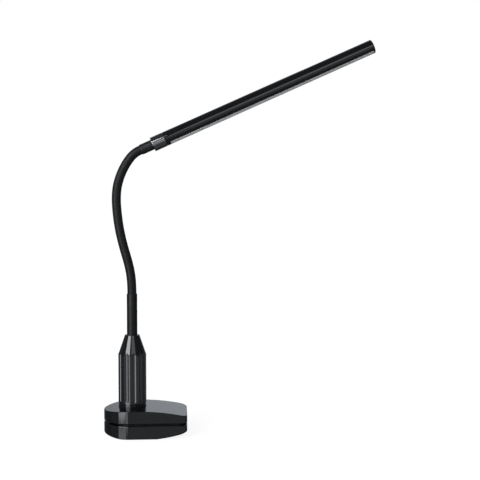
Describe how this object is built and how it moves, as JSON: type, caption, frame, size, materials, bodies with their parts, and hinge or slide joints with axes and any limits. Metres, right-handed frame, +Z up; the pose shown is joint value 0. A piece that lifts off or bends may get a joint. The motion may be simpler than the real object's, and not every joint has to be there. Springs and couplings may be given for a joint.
{
  "type": "piano lamp",
  "caption": "Clamp-on piano lamp: slim tubular light head with a touch ring, on a gooseneck above a fluted grip that screws two crowned jaws together.",
  "frame": {"origin": "column axis where it meets the plane that the lower jaw stands on", "axes": "+Z up along the column, +X towards the light head, +Y to the rear"},
  "size_m": [0.3659, 0.0775, 0.529],
  "materials": {
    "jaw_lacquer": "gloss",
    "grip_lacquer": "gloss",
    "pad_rubber": "matte",
    "cover_plastic": "matte",
    "black_rubber": "satin",
    "zinc_steel": "satin",
    "stem_paint": "satin",
    "neck_skin": "matte",
    "insert_brass": "satin",
    "touch_metal": "satin",
    "head_paint": "gloss",
    "head_plastic": "gloss",
    "core_plastic": "matte",
    "diffuser_opal": "satin",
    "board_laminate": "satin",
    "board_green": "satin",
    "chip_black": "satin",
    "led_phosphor": "satin",
    "spring_bronze": "satin",
    "wire_red": "satin"
  },
  "bodies": {
    "base": {"lower_jaw": "jaw_lacquer", "lower_jaw_pad": "pad_rubber", "bottom_cover": "cover_plastic", "bottom_cover_screws": "zinc_steel", "stem_tube": "stem_paint", "stem_washer": "zinc_steel", "stem_nut": "zinc_steel", "stem_key": "zinc_steel", "cable_bush": "black_rubber", "stem_cable": "black_rubber", "neck_root": "neck_skin"},
    "upper_clamp": {"upper_jaw": "jaw_lacquer", "upper_jaw_pad": "pad_rubber", "guide_plate": "zinc_steel", "guide_plate_screws": "zinc_steel", "thrust_ring": "grip_lacquer"},
    "grip": {"grip_sleeve": "grip_lacquer", "thread_insert": "insert_brass", "retaining_clip": "zinc_steel", "grip_cone": "grip_lacquer"},
    "neck_01": {"neck_link_01": "neck_skin"},
    "neck_02": {"neck_link_02": "neck_skin"},
    "neck_03": {"neck_link_03": "neck_skin"},
    "neck_04": {"neck_link_04": "neck_skin"},
    "neck_05": {"neck_link_05": "neck_skin"},
    "neck_06": {"neck_link_06": "neck_skin"},
    "neck_07": {"neck_link_07": "neck_skin"},
    "neck_08": {"neck_link_08": "neck_skin"},
    "neck_09": {"neck_link_09": "neck_skin"},
    "neck_10": {"neck_link_10": "neck_skin"},
    "neck_11": {"neck_link_11": "neck_skin"},
    "head": {"neck_tip": "neck_skin", "neck_top_sleeve": "black_rubber", "touch_ring": "touch_metal", "head_collar": "head_plastic", "neck_socket": "core_plastic", "neck_grub_screw": "zinc_steel", "head_tube": "head_paint", "diffuser": "diffuser_opal", "end_cap": "head_plastic", "led_board": "board_laminate", "led_chips": "led_phosphor", "touch_board": "board_green", "touch_board_parts": "chip_black", "touch_contact": "spring_bronze", "head_wires": "wire_red"}
  },
  "joints": [
    {"name": "clamp_lift", "type": "slide", "parent": "base", "child": "upper_clamp", "axis": [0, 0, 1], "range_m": [0, 0.052]},
    {"name": "grip_turn", "type": "hinge", "parent": "upper_clamp", "child": "grip", "pos_m": [0, 0, 0.08], "axis": [0, 0, 1], "range_deg": [0, 4680]},
    {"name": "neck_bend_01", "type": "hinge", "parent": "base", "child": "neck_01", "pos_m": [-0.00061, 0, 0.2058], "axis": [0, 1, 0], "range_deg": [-11, 11]},
    {"name": "neck_bend_02", "type": "hinge", "parent": "neck_01", "child": "neck_02", "pos_m": [-0.00299, 0, 0.22262], "axis": [0.9781, 0, 0.2079], "range_deg": [-11, 11]},
    {"name": "neck_bend_03", "type": "hinge", "parent": "neck_02", "child": "neck_03", "pos_m": [-0.00717, 0, 0.23911], "axis": [0, 1, 0], "range_deg": [-11, 11]},
    {"name": "neck_bend_04", "type": "hinge", "parent": "neck_03", "child": "neck_04", "pos_m": [-0.01172, 0, 0.2555], "axis": [0.9681, 0, 0.2504], "range_deg": [-11, 11]},
    {"name": "neck_bend_05", "type": "hinge", "parent": "neck_04", "child": "neck_05", "pos_m": [-0.01544, 0, 0.27209], "axis": [0, 1, 0], "range_deg": [-11, 11]},
    {"name": "neck_bend_06", "type": "hinge", "parent": "neck_05", "child": "neck_06", "pos_m": [-0.01806, 0, 0.2889], "axis": [0.9928, 0, 0.1201], "range_deg": [-11, 11]},
    {"name": "neck_bend_07", "type": "hinge", "parent": "neck_06", "child": "neck_07", "pos_m": [-0.01966, 0, 0.30583], "axis": [0, 1, 0], "range_deg": [-11, 11]},
    {"name": "neck_bend_08", "type": "hinge", "parent": "neck_07", "child": "neck_08", "pos_m": [-0.01968, 0, 0.32283], "axis": [0.9978, 0, -0.0663], "range_deg": [-11, 11]},
    {"name": "neck_bend_09", "type": "hinge", "parent": "neck_08", "child": "neck_09", "pos_m": [-0.01668, 0, 0.33954], "axis": [0, 1, 0], "range_deg": [-11, 11]},
    {"name": "neck_bend_10", "type": "hinge", "parent": "neck_09", "child": "neck_10", "pos_m": [-0.01046, 0, 0.35534], "axis": [0.8949, 0, -0.4462], "range_deg": [-11, 11]},
    {"name": "neck_bend_11", "type": "hinge", "parent": "neck_10", "child": "neck_11", "pos_m": [-0.00142, 0, 0.36972], "axis": [0, 1, 0], "range_deg": [-11, 11]},
    {"name": "neck_bend_12", "type": "hinge", "parent": "neck_11", "child": "head", "pos_m": [0.01181, 0, 0.38013], "axis": [0.4099, 0, -0.9121], "range_deg": [-11, 11]}
  ],
  "couplings": [
    {"joint": "clamp_lift", "follows": "grip_turn", "m_per_rad": 0.00063662}
  ]
}
